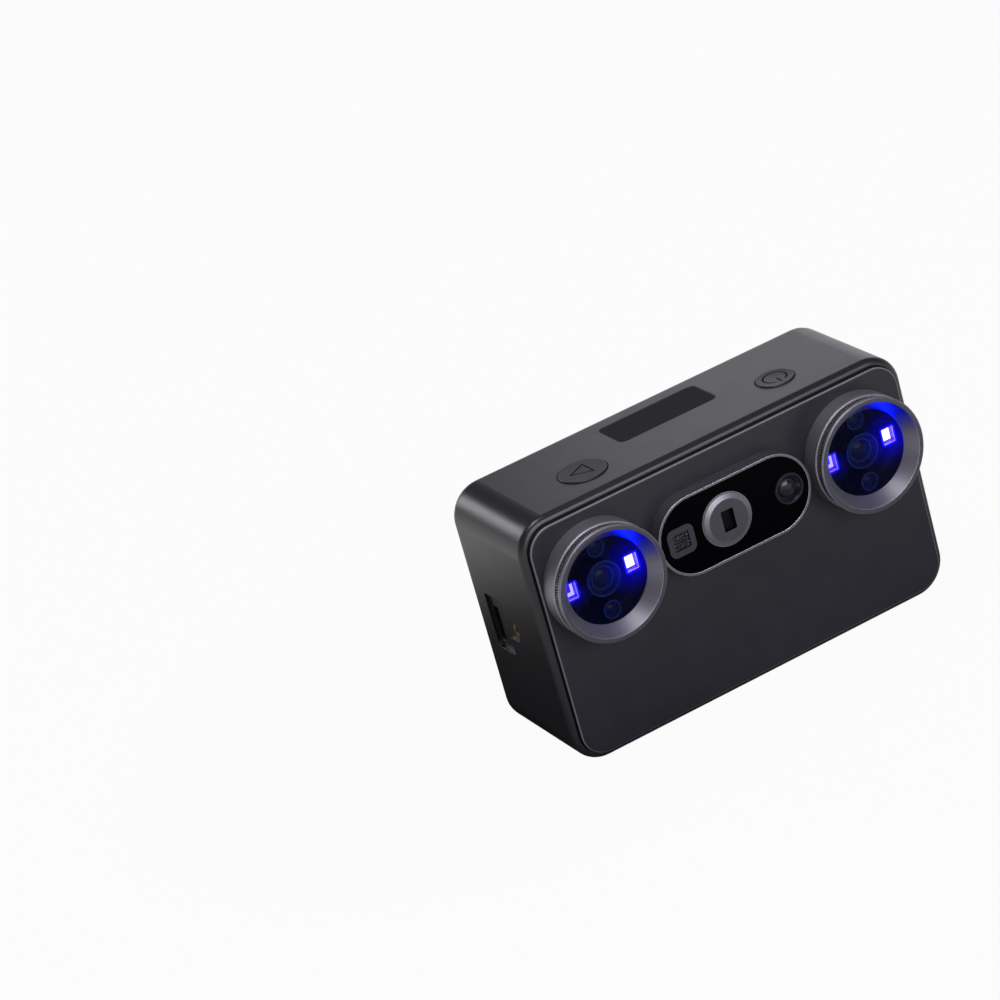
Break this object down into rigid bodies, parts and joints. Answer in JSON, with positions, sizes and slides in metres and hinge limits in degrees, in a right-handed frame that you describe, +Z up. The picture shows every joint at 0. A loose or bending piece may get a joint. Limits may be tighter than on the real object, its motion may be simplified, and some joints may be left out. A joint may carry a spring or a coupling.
{
  "type": "handheld three-d scanner",
  "caption": "Box-shaped handheld structured-light scanner with round sensor heads, an oblong projector window, a rear screen, top push buttons and a hinged battery door.",
  "frame": {"origin": "centre of the tripod socket's mouth, on the underside", "axes": "+X to the right seen from the front, the end with the battery door; the sensor heads face -Y and the screen faces +Y; +Z up through the push buttons"},
  "size_m": [0.1666, 0.0683, 0.1005],
  "materials": {
    "housing": "satin graphite",
    "panel": "satin near-black",
    "cover": "satin grey",
    "black_plastic": "matt black",
    "grille": "matt charcoal",
    "head_metal": "anodised graphite",
    "filter_glass": "dark filter glass",
    "screen_glass": "black cover glass",
    "lens": "polished",
    "light": "clear blue light package",
    "projector_metal": "satin",
    "board": "solder resist",
    "steel": "bright",
    "brass": "plain",
    "aluminium": "plain",
    "battery": "matt sleeve",
    "rubber": "matt"
  },
  "bodies": {
    "housing": {"main_housing": "housing", "front_panel": "panel", "rear_cover": "cover", "display_glass": "screen_glass", "display_panel": "black_plastic", "optical_bench": "aluminium", "bench_screws": "steel", "lens_boss_left": "head_metal", "lens_boss_right": "head_metal", "knurled_ring_left": "black_plastic", "knurled_ring_right": "black_plastic", "lens_hood_left": "head_metal", "lens_hood_right": "head_metal", "lens_window_left": "filter_glass", "lens_window_right": "filter_glass", "camera_lens_left": "lens", "camera_lens_right": "lens", "infrared_lenses_left": "lens", "infrared_lenses_right": "lens", "light_emitters_left": "light", "light_emitters_right": "light", "lens_board_left": "board", "lens_board_right": "board", "projector_bezel": "head_metal", "projector_window": "screen_glass", "projector_board": "board", "dot_projector": "projector_metal", "laser_projector": "projector_metal", "colour_camera": "lens", "top_vent": "grille", "button_board": "board", "fan_frame": "black_plastic", "main_board": "board", "board_standoffs": "brass", "heat_sink": "aluminium", "battery_pack": "battery", "battery_contacts": "brass", "switch_panel": "housing", "mode_switch_base": "black_plastic", "door_hinge_pin": "steel", "bottom_plate": "housing", "tripod_socket": "steel", "bottom_grille": "grille", "end_plate": "housing", "bottom_screws": "steel", "speaker": "black_plastic", "usb_socket": "steel", "lock_insert": "brass", "connector_board": "board", "strap_plug": "rubber"},
    "scan_button": {"scan_button": "housing"},
    "power_button": {"power_button": "housing"},
    "mode_switch": {"mode_switch_knob": "cover"},
    "battery_door": {"battery_door": "housing"},
    "door_latch": {"door_latch": "cover"},
    "fan_rotor": {"fan_rotor": "black_plastic"}
  },
  "joints": [
    {"name": "scan_press", "type": "slide", "parent": "housing", "child": "scan_button", "axis": [0, 0, -1], "range_m": [0, 0.0005], "stiffness_N_per_m": 2000, "springref_m": -0.0004},
    {"name": "power_press", "type": "slide", "parent": "housing", "child": "power_button", "axis": [0, 0, -1], "range_m": [0, 0.0005], "stiffness_N_per_m": 2000, "springref_m": -0.0004},
    {"name": "mode_slide", "type": "slide", "parent": "housing", "child": "mode_switch", "axis": [0, 0, 1], "range_m": [-0.0028, 0]},
    {"name": "door_hinge", "type": "hinge", "parent": "housing", "child": "battery_door", "pos_m": [0.07747, -0.0005, 0.00414], "axis": [0, 1, 0], "range_deg": [0, 90]},
    {"name": "latch_slide", "type": "slide", "parent": "battery_door", "child": "door_latch", "axis": [0, 0, 1], "range_m": [0, 0.0025]},
    {"name": "fan_spin", "type": "hinge", "parent": "housing", "child": "fan_rotor", "pos_m": [0, 0.0144, 0.091], "axis": [0, 0, 1], "continuous": true}
  ]
}
